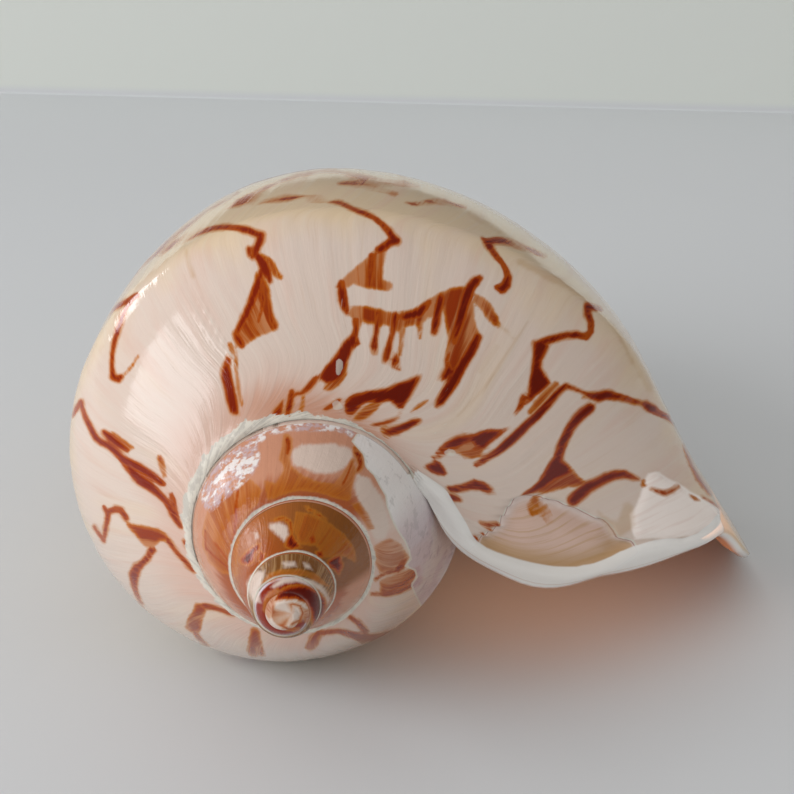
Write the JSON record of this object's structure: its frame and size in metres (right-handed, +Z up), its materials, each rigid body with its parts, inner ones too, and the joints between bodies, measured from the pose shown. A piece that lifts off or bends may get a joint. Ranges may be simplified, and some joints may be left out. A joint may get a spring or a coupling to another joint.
{
  "type": "seashell",
  "caption": "Large glossy sea-snail shell lying on its aperture: short stepped spire, broad body whorl, wide flared outer lip, columella folds and a notch at the front end",
  "frame": {"origin": "on the table plane, under the middle of the shell's bounding box", "axes": "-Y is the end with the apex, +Y the front end with the notch, +X the side of the flared outer lip, +Z up from the table the shell rests on, aperture down"},
  "size_m": [0.1128, 0.1434, 0.0724],
  "materials": {
    "glossy_shell": "glossy, pinkish cream with red-brown lines"
  },
  "bodies": {
    "root": {"shell": "glossy_shell"}
  },
  "joints": []
}
